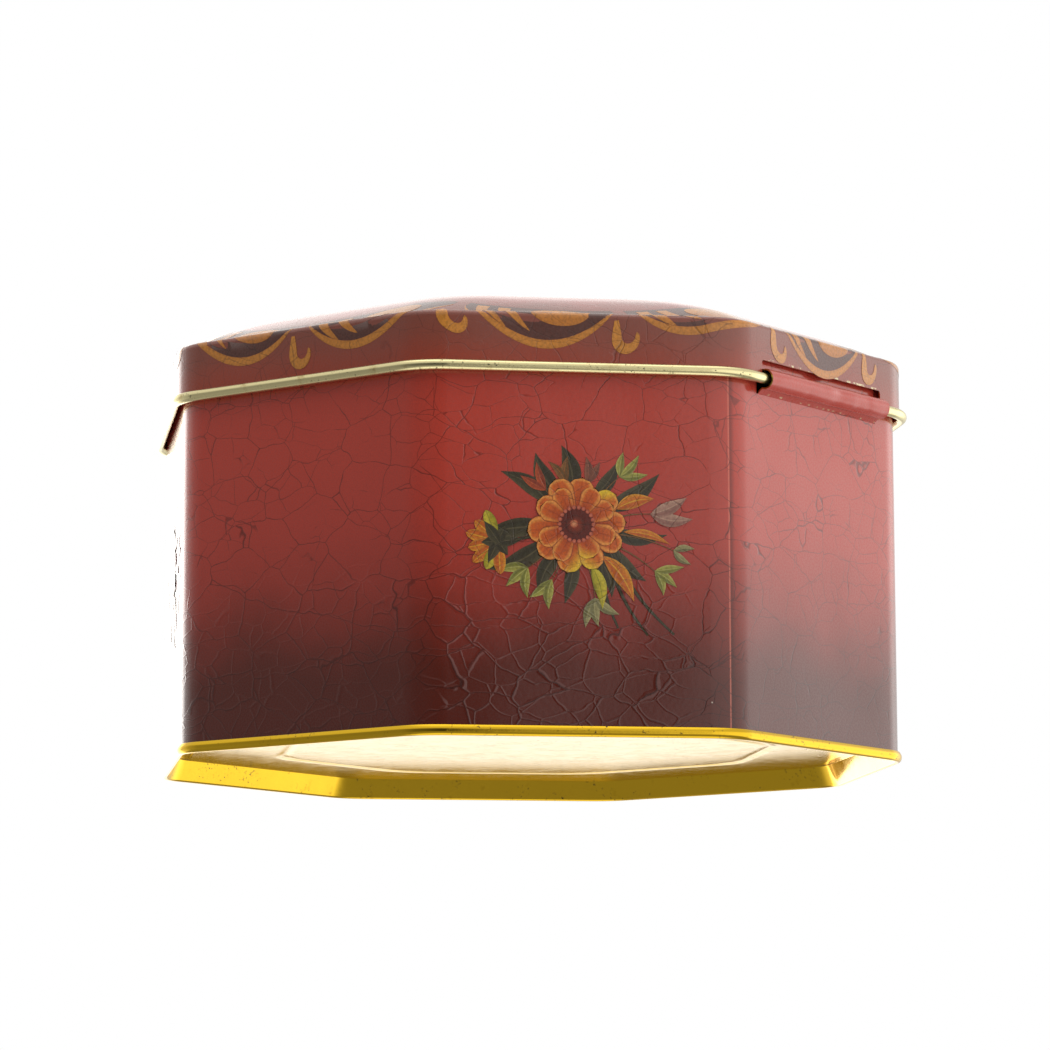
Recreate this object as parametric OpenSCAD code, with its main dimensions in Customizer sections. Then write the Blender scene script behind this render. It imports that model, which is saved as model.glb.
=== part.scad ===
// Hinged octagonal tin: body wall, double-seamed base, domed lid and its edge wire.
// Millimetres, +Z up, origin at the middle of the face the tin stands on.
// The hinge is on the +Y face.

/* [Body] */
// Width of the body across two opposite flat faces
across_flats = 150; // [120:1:180]
// Bend radius of the eight upright corners, outside
corner_r = 12; // [8:1:18]
// Thickness of the tinplate
sheet = 0.3; // [0.25:0.05:0.35]
// Height of the body's top edge, just under the lid's shoulder
body_h = 83.8; // [80:0.1:83.8]
// Depth of the hem folded inwards at the body's top edge
hem_h = 3; // [2:0.5:4]
// Thickness of the folded side seam on the inside
seam_t = 0.6; // [0.5:0.1:0.8]

/* [Base] */
// Height of the seam that joins base and body
base_seam_h = 2.2; // [1.8:0.1:3]
// How far the seam stands proud of the body
base_seam_out = 0.85; // [0.7:0.05:1.2]
// Height of the recessed base panel above the table
base_recess = 5; // [3:0.5:8]
// How far the recess wall leans inwards
base_lean = 1.8; // [0.5:0.1:2.5]
// Width of the pressed step around the base panel
base_step_w = 3; // [2:0.5:5]
// Height of the pressed step around the base panel
base_step_h = 0.6; // [0.4:0.1:1]

/* [Lid] */
// Gap between the body and the inside of the lid's skirt
lid_gap = 1.1; // [0.9:0.1:1.4]
// Height of the lid's shoulder, where the skirt turns into the top
shoulder_z = 84.4; // [84.2:0.1:86]
// Outside radius of the shoulder
shoulder_r = 1.2; // [0.8:0.1:2]
// Height of the domed top above the shoulder
dome_h = 10.5; // [4:0.5:14]
// Width of the flat ledge between the shoulder and the dome
ledge_w = 1.5; // [1:0.1:3]

/* [Hinge] */
// Height of the middle of the lid's rolled edge, which is the hinge axis
bead_z = 73.1; // [72.5:0.1:74]
// Radius of the lid's rolled edge
bead_r = 1.13; // [1:0.01:1.2]
// How far the rolled edge's middle lies outside the body's face
bead_out = 1.85; // [1.8:0.01:2]
// Length of the body's tongue along the hinge
tongue_w = 44; // [30:1:46]
// Outside radius of the tongue where it wraps the rolled edge
tongue_r = 2.1; // [2:0.05:2.3]
// Depth of the tongue's root below the hinge axis
tongue_root = 3; // [2.6:0.1:3.6]
// Height above the hinge axis at which the tongue meets the wall's plane again
tongue_crease = 1.7; // [1.5:0.1:1.9]
// Height of the tongue's free end above the hinge axis
tongue_end = 9; // [6:0.1:9.4]
// Height of the top of the skirt's window above the hinge axis
window_h = 3.95; // [3.5:0.05:4.5]
// Gap between the tongue and the window in the lid's skirt
window_gap = 0.35; // [0.3:0.05:0.6]

/* [Hidden] */
$fn = 64;

faces = 8;
face_step = 360 / faces;
body_a = across_flats / 2;
inner_a = body_a - sheet;
centre_a = body_a - corner_r;
side = 2 * centre_a * tan(face_step / 2);
corner_place = centre_a / cos(face_step / 2);
// slip kept between sheets that lie on each other
touch = 0.05;
// the corner bends are this much thicker than the flat sides, so that they take in the sides' ends
hair = 0.01;
$grow = 0;
// angle by which each bend runs into the sides next to it
bend_lap = 1;

seam_a = body_a + base_seam_out;
hook_a = seam_a - sheet - touch;
foot_a = inner_a - touch;
panel_a = foot_a - base_lean;

skirt_in = body_a + lid_gap;
skirt_out = skirt_in + sheet;
shoulder_a = skirt_out - shoulder_r;
shoulder_mid = shoulder_z - shoulder_r;
lip_a = shoulder_a - ledge_w;
bead_a = body_a + bead_out;
bead_bore = bead_r - sheet;
wire_r = bead_bore - touch;

// angles on the tongue's wrap, from straight out over the top and under the bottom
wrap_top = 100;
wrap_bottom = -112;
// angle by which the tongue's flat ends run into its wrap
lap = 3;
wrap_in = tongue_r - sheet;
// corner with the side seam, counted from the one between +X and the next face
seam_corner = 1;
// where in the corner's bend the folded seam starts, and how much of the bend it takes up
seam_start = 4;
seam_span = 22;
// how square the dome is: 2 is an arch, more gives steeper sides and a flatter top
dome_power = 4;
dome_rings = 10;
corner_steps = 4;

// Point at an angle on the circle of radius r round the rolled edge's middle.
function on_wrap(r, angle) = [bead_a + r * cos(angle), bead_z + r * sin(angle)];

// Carries a profile round the eight sides and corners.
// The profile's x is the distance from the tin's axis out to a flat face.
module around() {
    for (i = [0:faces - 1]) rotate([0, 0, face_step * i]) {
        translate([0, side / 2, 0]) rotate([90, 0, 0]) linear_extrude(side) children();
        translate([centre_a, side / 2, 0]) rotate([0, 0, -bend_lap])
            bend(face_step + 2 * bend_lap) children();
    }
}

// The profile turned about a corner's centre.
module bend(span) {
    $grow = hair;
    rotate_extrude(angle = span) translate([-centre_a, 0]) children();
}

// Extrudes a profile along the middle of the hinge face.
module on_hinge_face(width) {
    rotate([0, 0, 90]) translate([0, width / 2, 0]) rotate([90, 0, 0])
        linear_extrude(width) children();
}

// Section of a flat sheet. It never grows below the plane that the tin stands on.
module plate(a0, a1, z0, z1) {
    foot = max(0, z0 - $grow);
    translate([a0 - $grow, foot]) square([a1 - a0 + 2 * $grow, z1 + $grow - foot]);
}

// Section of a sheet bent round.
module tube(r_out, r_in) {
    difference() {
        circle(r_out + $grow);
        circle(r_in - $grow);
    }
}

// Octagon whose bends have the given radius and have their centres at the given distance.
function outline(place, radius) = [
    for (k = [0:faces - 1]) for (j = [0:corner_steps])
    let (c = face_step * (k + 0.5), t = face_step * (k + j / corner_steps))
    [place * cos(c) + radius * cos(t), place * sin(c) + radius * sin(t)]
];

// ---- body wall: one sheet with its hem, bottom hook, side seam and hinge tongue ----

module wall_profile() {
    plate(inner_a, body_a, sheet + touch, body_h);
    // hem folded inwards at the top edge
    plate(inner_a - sheet, inner_a, body_h - hem_h, body_h);
    // hook turned out and down inside the base seam
    plate(body_a, hook_a, base_seam_h - 2 * sheet - touch, base_seam_h - sheet - touch);
    plate(hook_a - sheet, hook_a, base_seam_h / 2 - sheet, base_seam_h - sheet - touch);
}

// The tongue leaves the wall under the rolled edge, goes round it from below, passes inwards over
// it through the window in the lid's skirt, and its free end stands up in the wall's notch.
module tongue_profile() {
    root_z = bead_z - tongue_root;
    crease_z = bead_z + tongue_crease;
    polygon([
        on_wrap(wrap_in, wrap_bottom + lap), on_wrap(tongue_r, wrap_bottom + lap),
        [body_a - sheet / 2, root_z], [body_a - sheet / 2, root_z + sheet]
    ]);
    intersection() {
        translate([bead_a, bead_z]) tube(tongue_r, wrap_in);
        polygon(concat(
            [[bead_a, bead_z]],
            [for (i = [0:6]) on_wrap(2 * tongue_r, wrap_bottom + (wrap_top - wrap_bottom) * i / 6)]
        ));
    }
    polygon([
        [inner_a + sheet / 2, crease_z - sheet / 2], on_wrap(wrap_in, wrap_top - lap),
        on_wrap(tongue_r, wrap_top - lap), [inner_a + sheet / 2, crease_z + sheet / 2]
    ]);
    plate(inner_a, body_a, crease_z - sheet / 2, bead_z + tongue_end);
}

module body_wall() {
    color("indianred") {
        difference() {
            around() wall_profile();
            // notch that the tongue was bent out of
            on_hinge_face(tongue_w + 2 * window_gap)
                plate(inner_a - 2 * sheet, body_a + sheet, bead_z - tongue_root + sheet, body_h + sheet);
        }
        on_hinge_face(tongue_w) tongue_profile();
        // folded side seam, inside the corner beside the hinge
        rotate([0, 0, face_step * seam_corner]) translate([centre_a, side / 2, 0])
            rotate([0, 0, seam_start]) bend(seam_span)
            plate(inner_a - seam_t, inner_a + sheet / 2, base_recess + 2 * sheet, body_h - hem_h / 2);
    }
}

// ---- base: recessed panel, leaning wall and the seam folded over the body's hook ----

module base_profile() {
    step_a = panel_a - base_step_w;
    step_z = base_recess - base_step_h;
    // outer wrap, foot and turned-in top of the seam
    plate(seam_a - sheet, seam_a, 0, base_seam_h);
    plate(foot_a - sheet, seam_a - sheet, 0, sheet);
    plate(body_a + touch, seam_a - sheet, base_seam_h - sheet, base_seam_h);
    // recess wall, leaning inwards
    polygon([
        [foot_a - sheet - $grow, 0], [foot_a + $grow, 0], [foot_a + $grow, sheet],
        [panel_a + $grow, base_recess], [panel_a - sheet - $grow, base_recess]
    ]);
    // rim of the panel and the step pressed into it
    plate(step_a, panel_a, base_recess - sheet, base_recess);
    plate(step_a - sheet, step_a, step_z - sheet, base_recess);
}

module base_panel() {
    floor_z = base_recess - base_step_h - sheet;
    color("darkgoldenrod") {
        around() base_profile();
        // the floor's edge ends inside the step's sheet, a hair above its lower end
        translate([0, 0, floor_z + hair]) linear_extrude(sheet)
            polygon(outline(corner_place, panel_a - base_step_w - sheet / 2 - centre_a));
    }
}

// ---- lid: rolled edge, skirt with the hinge window, shoulder, ledge and dome ----

module skirt_profile() {
    difference() {
        plate(skirt_in, skirt_out, bead_z, shoulder_mid);
        // the skirt's lower edge ends inside the rolled edge's sheet
        translate([bead_a, bead_z]) circle(bead_bore + sheet / 2);
    }
    intersection() {
        translate([shoulder_a, shoulder_mid]) tube(shoulder_r, shoulder_r - sheet);
        plate(shoulder_a, skirt_out, shoulder_mid, shoulder_z);
    }
    plate(lip_a, shoulder_a, shoulder_z - sheet, shoulder_z);
}

// Opening in the skirt that the tongue passes through, open down to the rolled edge.
module hinge_window() {
    corner = 2 * sheet;
    half = tongue_w / 2 + window_gap;
    top = bead_z + window_h;
    translate([0, skirt_out + sheet, 0]) rotate([90, 0, 0]) linear_extrude(3 * sheet) {
        translate([-half, bead_z - sheet]) square([2 * half, top - corner - bead_z + sheet]);
        translate([corner - half, bead_z]) square([2 * (half - corner), top - bead_z]);
        for (s = [-1, 1]) translate([s * (half - corner), top - corner]) circle(corner);
    }
}

// Share of the dome's half-width left at ring i, from 1 at its edge to 0 in the middle.
function ring_size(i) = 1 - pow(i / dome_rings, 1.3);

// Ring i of the dome: an octagon at the edge that turns into a circle towards the middle.
function dome_ring(i, a, z) = let (
    share = ring_size(i),
    size = share * a,
    radius = size * (1 - share * centre_a / a),
    height = z + dome_h * (1 - pow(share, dome_power))
) [for (p = outline((size - radius) / cos(face_step / 2), radius)) [p[0], p[1], height]];

// One side of the dome's sheet: its edge inside the ledge, the rings and the middle.
function dome_side(z) = concat(
    dome_ring(0, lip_a + 3 * sheet, z),
    [for (i = [0:dome_rings - 1]) each dome_ring(i, lip_a + sheet, z)],
    [[0, 0, z + dome_h]]
);

// The dome's edge is sunk into the middle of the ledge's thickness.
module dome() {
    sunk = sheet / 5;
    n = faces * (corner_steps + 1);
    rows = dome_rings;
    peak = n * (rows + 1);
    under = peak + 1;
    polyhedron(
        points = concat(dome_side(shoulder_z - sunk), dome_side(shoulder_z - sheet + sunk)),
        faces = concat(
            [for (i = [0:rows - 1]) for (j = [0:n - 1]) let (u = i * n + j, v = i * n + (j + 1) % n)
                each [[u, u + n, v + n, v], [under + v, under + v + n, under + u + n, under + u]]],
            [for (j = [0:n - 1]) let (u = rows * n + j, v = rows * n + (j + 1) % n)
                each [[u, peak, v], [under + v, under + peak, under + u]]],
            [for (j = [0:n - 1]) let (v = (j + 1) % n) [j, v, under + v, under + j]]
        )
    );
}

module lid_shell() {
    color("brown") {
        difference() {
            around() skirt_profile();
            hinge_window();
        }
        around() translate([bead_a, bead_z]) tube(bead_r, bead_bore);
        dome();
    }
}

module lid_edge_wire() {
    color("silver") around() translate([bead_a, bead_z]) circle(wire_r + $grow);
}

body_wall();
base_panel();
lid_shell();
lid_edge_wire();
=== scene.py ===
"""Looks of a hinged octagonal tin: printed body and lid, gold base and rolled edge.

Lengths in this script are in millimetres until a mesh is made, and angles are in radians unless
a name says degrees. The tin's axis is Z, it stands on Z = 0, and the hinge is on the +Y face.
"""
import math
import random

import bmesh
import bpy
from mathutils import Matrix, Vector, noise


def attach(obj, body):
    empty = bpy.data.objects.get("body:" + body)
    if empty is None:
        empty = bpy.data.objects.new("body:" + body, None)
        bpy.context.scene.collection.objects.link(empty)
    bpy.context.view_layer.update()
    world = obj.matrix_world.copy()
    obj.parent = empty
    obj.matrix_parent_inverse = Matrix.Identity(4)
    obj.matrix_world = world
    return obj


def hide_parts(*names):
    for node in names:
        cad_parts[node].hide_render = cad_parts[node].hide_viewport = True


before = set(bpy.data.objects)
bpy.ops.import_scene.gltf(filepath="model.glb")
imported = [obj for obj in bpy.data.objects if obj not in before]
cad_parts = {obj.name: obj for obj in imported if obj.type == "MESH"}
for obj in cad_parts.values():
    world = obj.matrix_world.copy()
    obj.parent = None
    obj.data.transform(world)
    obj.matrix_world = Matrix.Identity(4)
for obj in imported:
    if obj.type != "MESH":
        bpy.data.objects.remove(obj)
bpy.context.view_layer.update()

MM = 0.001

# ---- dimensions of the CAD part that the meshes below follow -------------------------------

SHEET = 0.3
HALF_SHEET = SHEET / 2
FACES = 8
STEP = math.tau / FACES
BODY_A = 75.0
CORNER_R = 12.0
CENTRE_A = BODY_A - CORNER_R
SIDE = 2 * CENTRE_A * math.tan(STEP / 2)
BEND_LENGTH = CORNER_R * STEP
FACE_PITCH = SIDE + BEND_LENGTH
BODY_H = 83.8
HEM_H = 3.0

SEAM_H = 2.2
SEAM_A = BODY_A + 0.85
PANEL_Z = 5.0
PANEL_A = 72.85
STEP_W = 3.0
STEP_H = 0.6

SKIRT_A = 76.4
SHOULDER_Z = 84.4
SHOULDER_R = 1.2
LEDGE_W = 1.5
DOME_H = 10.44
BEAD_A = 76.85
BEAD_Z = 73.1
BEAD_R = 1.13

HINGE_FACE = 2
TONGUE_HALF = 22.0
NOTCH_HALF = 22.35
TONGUE_R = 2.1
TONGUE_ROOT_Z = BEAD_Z - 3.0 + HALF_SHEET
TONGUE_CREASE_Z = BEAD_Z + 1.7
TONGUE_END_Z = BEAD_Z + 9
WRAP_FROM = math.radians(-112)
WRAP_TO = math.radians(100)
WINDOW_TOP = BEAD_Z + 3.95
WINDOW_CORNER = 0.6

BEND_STEPS = 12
WELD = 1e-6

# ---- stations round the octagon, and profiles swept along them ------------------------------


class Station:
    """A place round the tin: a point on the octagon of apothem CENTRE_A and the way outwards."""

    def __init__(self, face, offset=None, turn=0.0):
        angle = face * STEP
        along = SIDE / 2 if offset is None else offset
        self.x = CENTRE_A * math.cos(angle) - along * math.sin(angle)
        self.y = CENTRE_A * math.sin(angle) + along * math.cos(angle)
        self.face = face
        self.offset = offset
        self.heading = angle + turn
        self.length = face * FACE_PITCH + along + SIDE / 2 + CORNER_R * turn

    def at(self, core, radius, z):
        """The point outwards by radius from the octagon that is shrunk to the apothem core."""
        share = core / CENTRE_A
        return (
            self.x * share + radius * math.cos(self.heading),
            self.y * share + radius * math.sin(self.heading),
            z,
        )


def all_round(flat_offsets, hinge_offsets=None):
    """Stations of the whole octagon. Offsets lie between the ends of a flat face."""
    found = []
    for face in range(FACES):
        inner = hinge_offsets if hinge_offsets and face == HINGE_FACE else flat_offsets
        for offset in [-SIDE / 2, *inner, SIDE / 2]:
            found.append(Station(face, offset))
        for i in range(1, BEND_STEPS):
            found.append(Station(face, turn=STEP * i / BEND_STEPS))
    return found


def spread(start, end, count):
    """count + 1 evenly spaced numbers from start to end."""
    return [start + (end - start) * i / count for i in range(count + 1)]


def arc(a, z, radius, start, end, count):
    """Points (apothem, z) on an arc, whose angles are measured from outwards towards up."""
    return [(a + radius * math.cos(t), z + radius * math.sin(t)) for t in spread(start, end, count)]


def rounded(points, radius, count=4):
    """The open polyline through the points with its inner corners rounded."""
    out = [points[0]]
    for before, here, after in zip(points, points[1:], points[2:]):
        p = Vector(here)
        to_before, to_after = Vector(before) - p, Vector(after) - p
        reach = min(radius, to_before.length / 2.2, to_after.length / 2.2)
        start, end = p + to_before.normalized() * reach, p + to_after.normalized() * reach
        for t in spread(0, 1, count):
            out.append(tuple(start * (1 - t) ** 2 + p * 2 * t * (1 - t) + end * t * t))
    out.append(points[-1])
    return out


def as_rings(profile):
    """Profile points (apothem, z) as rings (core, radius, z) for Station.at."""
    return [(CENTRE_A, a - CENTRE_A, z) for a, z in profile]


def shrinking_ring(edge_a, share, z):
    """Ring that is the octagon of apothem edge_a at share 1, and turns into a circle towards 0."""
    size = edge_a * share
    radius = size * (1 - share * CENTRE_A / edge_a)
    return (size - radius, radius, z)


def link(name, mesh):
    obj = bpy.data.objects.new(name, mesh)
    bpy.context.scene.collection.objects.link(obj)
    return obj


def sweep(bm, stations, rings, closed=True, skip=None, shift=None):
    """Adds the rings swept along the stations to bm, with a UV map of lengths in metres."""
    uv = bm.loops.layers.uv.get("print") or bm.loops.layers.uv.new("print")
    down = [0.0]
    for (c0, r0, z0), (c1, r1, z1) in zip(rings, rings[1:]):
        down.append(down[-1] + math.hypot(c1 + r1 - c0 - r0, z1 - z0))
    grid = []
    for s in stations:
        column = []
        for i, ring in enumerate(rings):
            point = Vector(s.at(*ring))
            if shift:
                point += shift(s, i)
            column.append(bm.verts.new(point * MM))
        grid.append(column)
    lengths = [s.length for s in stations]
    last = len(stations) if closed else len(stations) - 1
    for i in range(last):
        j = (i + 1) % len(stations)
        length_j = lengths[j] if j else FACES * FACE_PITCH
        for k in range(len(rings) - 1):
            if skip and skip(stations[i], stations[j], rings[k], rings[k + 1]):
                continue
            corners = [(i, k, lengths[i]), (j, k, length_j), (j, k + 1, length_j), (i, k + 1, lengths[i])]
            try:
                face = bm.faces.new([grid[c][r] for c, r, _ in corners])
            except ValueError:
                continue
            face.smooth = True
            for loop, (_, r, u) in zip(face.loops, corners):
                loop[uv].uv = (u * MM, down[r] * MM)
    return grid


def mesh_from(bm, name):
    """A mesh from bm with its doubled points joined, where WELD is in metres."""
    bmesh.ops.remove_doubles(bm, verts=bm.verts, dist=WELD)
    bmesh.ops.dissolve_degenerate(bm, dist=WELD / 10, edges=bm.edges)
    loose = [v for v in bm.verts if not v.link_faces]
    bmesh.ops.delete(bm, geom=loose, context="VERTS")
    mesh = bpy.data.meshes.new(name)
    bm.to_mesh(mesh)
    bm.free()
    return mesh


def solid_sheet(name, bm, outside, inside, sharp_degrees=40):
    """A sheet's middle surface made into a closed sheet, with one material on each side."""
    obj = link(name, mesh_from(bm, name))
    dress(obj, outside, inside)
    thicken = obj.modifiers.new("thickness", "SOLIDIFY")
    thicken.thickness = SHEET * MM
    thicken.offset = 0
    thicken.use_even_offset = True
    thicken.use_quality_normals = True
    thicken.material_offset = 1
    thicken.material_offset_rim = 1
    depsgraph = bpy.context.evaluated_depsgraph_get()
    made = bpy.data.meshes.new_from_object(obj.evaluated_get(depsgraph))
    obj.modifiers.clear()
    obj.data = made
    made.set_sharp_from_angle(angle=math.radians(sharp_degrees))
    return obj


def closed_tube(name, a, z, radius, count):
    """A tube all round the tin."""
    bm = bmesh.new()
    circle = arc(a, z, radius, 0, math.tau, count)
    sweep(bm, all_round([-9, 9]), as_rings(circle))
    bmesh.ops.recalc_face_normals(bm, faces=bm.faces)
    return link(name, mesh_from(bm, name))


# ---- materials ------------------------------------------------------------------------------


def srgb(r, g, b):
    """A colour picked on a screen, as the linear colour that Blender's sockets take."""
    return tuple(v / 12.92 if v <= 0.04045 else ((v + 0.055) / 1.055) ** 2.4 for v in (r, g, b))


class Nodes:
    """A short way to write a node tree."""

    def __init__(self, tree):
        self.tree = tree

    def new(self, kind, **settings):
        node = self.tree.nodes.new(kind)
        for key, value in settings.items():
            setattr(node, key, value)
        return node

    def put(self, socket, value):
        if isinstance(value, bpy.types.NodeSocket):
            self.tree.links.new(value, socket)
        elif hasattr(socket.default_value, "__len__") and len(socket.default_value) == 4:
            socket.default_value = (*value, 1) if len(value) == 3 else value
        else:
            socket.default_value = value

    def math(self, operation, a, b=0.0):
        node = self.new("ShaderNodeMath", operation=operation)
        for socket, value in zip(node.inputs, (a, b)):
            self.put(socket, value)
        return node.outputs[0]

    def ramp(self, value, low, high, out_low=0.0, out_high=1.0):
        """A smooth change from out_low at low to out_high at high."""
        node = self.new("ShaderNodeMapRange", interpolation_type="SMOOTHSTEP")
        for socket, number in zip(node.inputs, (value, low, high, out_low, out_high)):
            self.put(socket, number)
        return node.outputs[0]

    def mix(self, share, a, b, blend="MIX"):
        node = self.new("ShaderNodeMix", data_type="RGBA", blend_type=blend)
        self.put(node.inputs[0], share)
        self.put(node.inputs[6], a)
        self.put(node.inputs[7], b)
        return node.outputs[2]

    def noise(self, vector, scale, detail=2.0, roughness=0.5, colour=False):
        node = self.new("ShaderNodeTexNoise")
        self.put(node.inputs["Vector"], vector)
        self.put(node.inputs["Scale"], scale)
        self.put(node.inputs["Detail"], detail)
        self.put(node.inputs["Roughness"], roughness)
        return node.outputs[1 if colour else 0]

    def vector(self, operation, a, b):
        node = self.new("ShaderNodeVectorMath", operation=operation)
        self.put(node.inputs[0], a)
        if operation == "SCALE":
            self.put(node.inputs[3], b)
        else:
            self.put(node.inputs[1], b)
        return node.outputs[1 if operation in ("DOT_PRODUCT", "LENGTH") else 0]

    def edges(self, vector, scale, randomness=1.0):
        """Distance to the nearest border between irregular cells."""
        node = self.new("ShaderNodeTexVoronoi", feature="DISTANCE_TO_EDGE")
        self.put(node.inputs["Vector"], vector)
        self.put(node.inputs["Scale"], scale)
        self.put(node.inputs["Randomness"], randomness)
        return node.outputs[0]


def material(name):
    made = bpy.data.materials.new(name)
    made.use_nodes = True
    made.node_tree.nodes.clear()
    n = Nodes(made.node_tree)
    shader = n.new("ShaderNodeBsdfPrincipled")
    out = n.new("ShaderNodeOutputMaterial")
    n.tree.links.new(shader.outputs[0], out.inputs[0])
    return made, n, shader


def object_place(n):
    """Place on the tin in millimetres, the same for every piece."""
    return n.vector("SCALE", n.new("ShaderNodeTexCoord").outputs["Object"], 1 / MM)


def split_xyz(n, place):
    """The x, y and z of a vector."""
    split = n.new("ShaderNodeSeparateXYZ")
    n.put(split.inputs[0], place)
    return split.outputs


# crazing of the varnish: cell sizes in millimetres, and how far noise bends the cells out of shape
CRACK_CELL = 11.5
FINE_CRACK_CELL = 7.0
CELL_RANDOMNESS = 0.86
CELL_FLATTENING = 1.45
CRACK_BEND = 7.0
FINE_CRACK_BEND = 1.3
# the wrinkles end between these heights, and noise moves their end down by up to WRINKLE_WANDER
WRINKLES_FULL_Z = 30.0
WRINKLES_END_Z = 46.0
WRINKLE_WANDER = 16.0


def bending(n, place, scale, detail, reach):
    """A shift by coloured noise, to bend what is drawn in straight lines."""
    centred = n.vector("SUBTRACT", n.noise(place, scale, detail, 0.5, True), (0.5, 0.5, 0.5))
    return n.vector("SCALE", centred, reach)


def crackle(n, place):
    """Cracks in the printed varnish: dark hairlines, wrinkles low on the body, and where cracks are many."""
    _, y, height = split_xyz(n, place)
    wander = bending(n, place, 0.06, 2, CRACK_BEND)
    bent = n.vector("MULTIPLY", n.vector("ADD", place, wander), (1.0, 1.0, CELL_FLATTENING))
    bent = n.vector("ADD", bent, bending(n, place, 0.30, 1, FINE_CRACK_BEND))
    broad = n.edges(bent, 1 / CRACK_CELL, CELL_RANDOMNESS)
    elsewhere = n.vector("ADD", bent, (31.0, 17.0, 53.0))
    fine = n.edges(elsewhere, 1 / FINE_CRACK_CELL, CELL_RANDOMNESS)
    presence = n.noise(place, 0.07, 3, 0.6)
    broad_line = n.math("MULTIPLY", n.ramp(broad, 0.002, 0.0115, 1, 0), n.ramp(presence, 0.28, 0.42))
    fine_line = n.math("MULTIPLY", n.ramp(fine, 0.004, 0.017, 1, 0), n.ramp(presence, 0.42, 0.52))
    hairlines = n.math("MAXIMUM", broad_line, n.math("MULTIPLY", fine_line, 0.75))
    level = n.math("ADD", height, n.math("MULTIPLY", presence, WRINKLE_WANDER))
    low = n.ramp(level, WRINKLES_FULL_Z, WRINKLES_END_Z, 1, 0)
    # the hinge face is smooth
    low = n.math("MULTIPLY", low, n.ramp(y, BODY_A - 12, BODY_A - 5, 1, 0))
    wrinkles = n.math("MAXIMUM", n.ramp(broad, 0.0, 0.03, 1, 0), n.ramp(fine, 0.0, 0.042, 0.8, 0))
    return hairlines, n.math("MULTIPLY", wrinkles, low), presence


def relief(n, parts, distance):
    """Bump from (height, strength) pairs, one on the other."""
    normal = None
    for value, strength in parts:
        bump = n.new("ShaderNodeBump")
        n.put(bump.inputs["Strength"], strength)
        n.put(bump.inputs["Distance"], distance)
        n.put(bump.inputs["Height"], value)
        if normal is not None:
            n.put(bump.inputs["Normal"], normal)
        normal = bump.outputs[0]
    return normal


def worn_edge(n, place, level, reach):
    """Where the print has chipped off along the edges of the hinge, near one height."""
    x, y, z = split_xyz(n, place)
    near = n.ramp(n.math("ABSOLUTE", n.math("SUBTRACT", z, level)), reach * 0.6, reach, 1, 0)
    at_hinge = n.ramp(y, BODY_A + 0.15, BODY_A + 0.3)
    middle = n.ramp(n.math("ABSOLUTE", x), TONGUE_HALF - 0.5, TONGUE_HALF + 0.5, 1, 0)
    loss = n.ramp(n.noise(place, 0.42, 3, 0.6), 0.56, 0.60)
    return n.math("MULTIPLY", n.math("MULTIPLY", near, at_hinge), n.math("MULTIPLY", middle, loss))


def off_the_tongue(n, place):
    """1 on the print that isn't on the hinge's tongue."""
    _, y, z = split_xyz(n, place)
    off_tongue = n.ramp(y, BODY_A + 0.2, BODY_A + 0.5, 1, 0)
    on_lid = n.ramp(y, SKIRT_A - 0.2, SKIRT_A - 0.1)
    above_window = n.ramp(z, WINDOW_TOP - 0.2, WINDOW_TOP)
    return n.math("MAXIMUM", off_tongue, n.math("MULTIPLY", on_lid, above_window))


CRACK_COLOUR = srgb(0.16, 0.06, 0.05)
CHIP_COLOUR = srgb(0.85, 0.80, 0.74)
GRIME_COLOUR = srgb(0.10, 0.04, 0.04)
CHIP_SPACING = 9.0
PRINT_ROUGHNESS = 0.26


def finish_print(n, shader, colour, place, crack_share):
    """Varnish over print: cracks, wrinkles, chips, faint waves in the sheet, and gloss."""
    hairlines, wrinkles, presence = crackle(n, place)
    hairlines = n.math("MULTIPLY", hairlines, off_the_tongue(n, place))
    colour = n.mix(n.math("MULTIPLY", hairlines, crack_share), colour, CRACK_COLOUR)
    spots = n.new("ShaderNodeTexVoronoi", feature="F1")
    n.put(spots.inputs["Vector"], place)
    n.put(spots.inputs["Scale"], 1 / CHIP_SPACING)
    chip = n.math("MULTIPLY", n.ramp(spots.outputs[0], 0.012, 0.026, 1, 0), n.ramp(presence, 0.56, 0.6))
    colour = n.mix(chip, colour, CHIP_COLOUR)
    grain = n.noise(place, 2.2, 4, 0.65)
    colour = n.mix(n.ramp(grain, 0.3, 0.75, 0.0, 0.16), colour, GRIME_COLOUR)
    n.put(shader.inputs["Base Color"], colour)
    n.put(shader.inputs["Roughness"], n.ramp(grain, 0.3, 0.7, PRINT_ROUGHNESS - 0.04, PRINT_ROUGHNESS + 0.07))
    waves = n.noise(place, 0.035, 1, 0.4)
    peel = n.noise(place, 1.1, 2, 0.5)
    cracks = n.math("MULTIPLY", hairlines, -1.0)
    shader.inputs["Coat Weight"].default_value = 0.65
    shader.inputs["Coat Roughness"].default_value = 0.07
    shader.inputs["Coat IOR"].default_value = 1.5
    shader.inputs["IOR"].default_value = 1.45
    shader.inputs["Specular IOR Level"].default_value = 0.22
    normal = relief(n, [(waves, 0.4), (peel, 0.012), (cracks, 0.08), (wrinkles, 0.13)], 0.001)
    n.put(shader.inputs["Normal"], normal)
    n.put(shader.inputs["Coat Normal"], normal)


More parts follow.
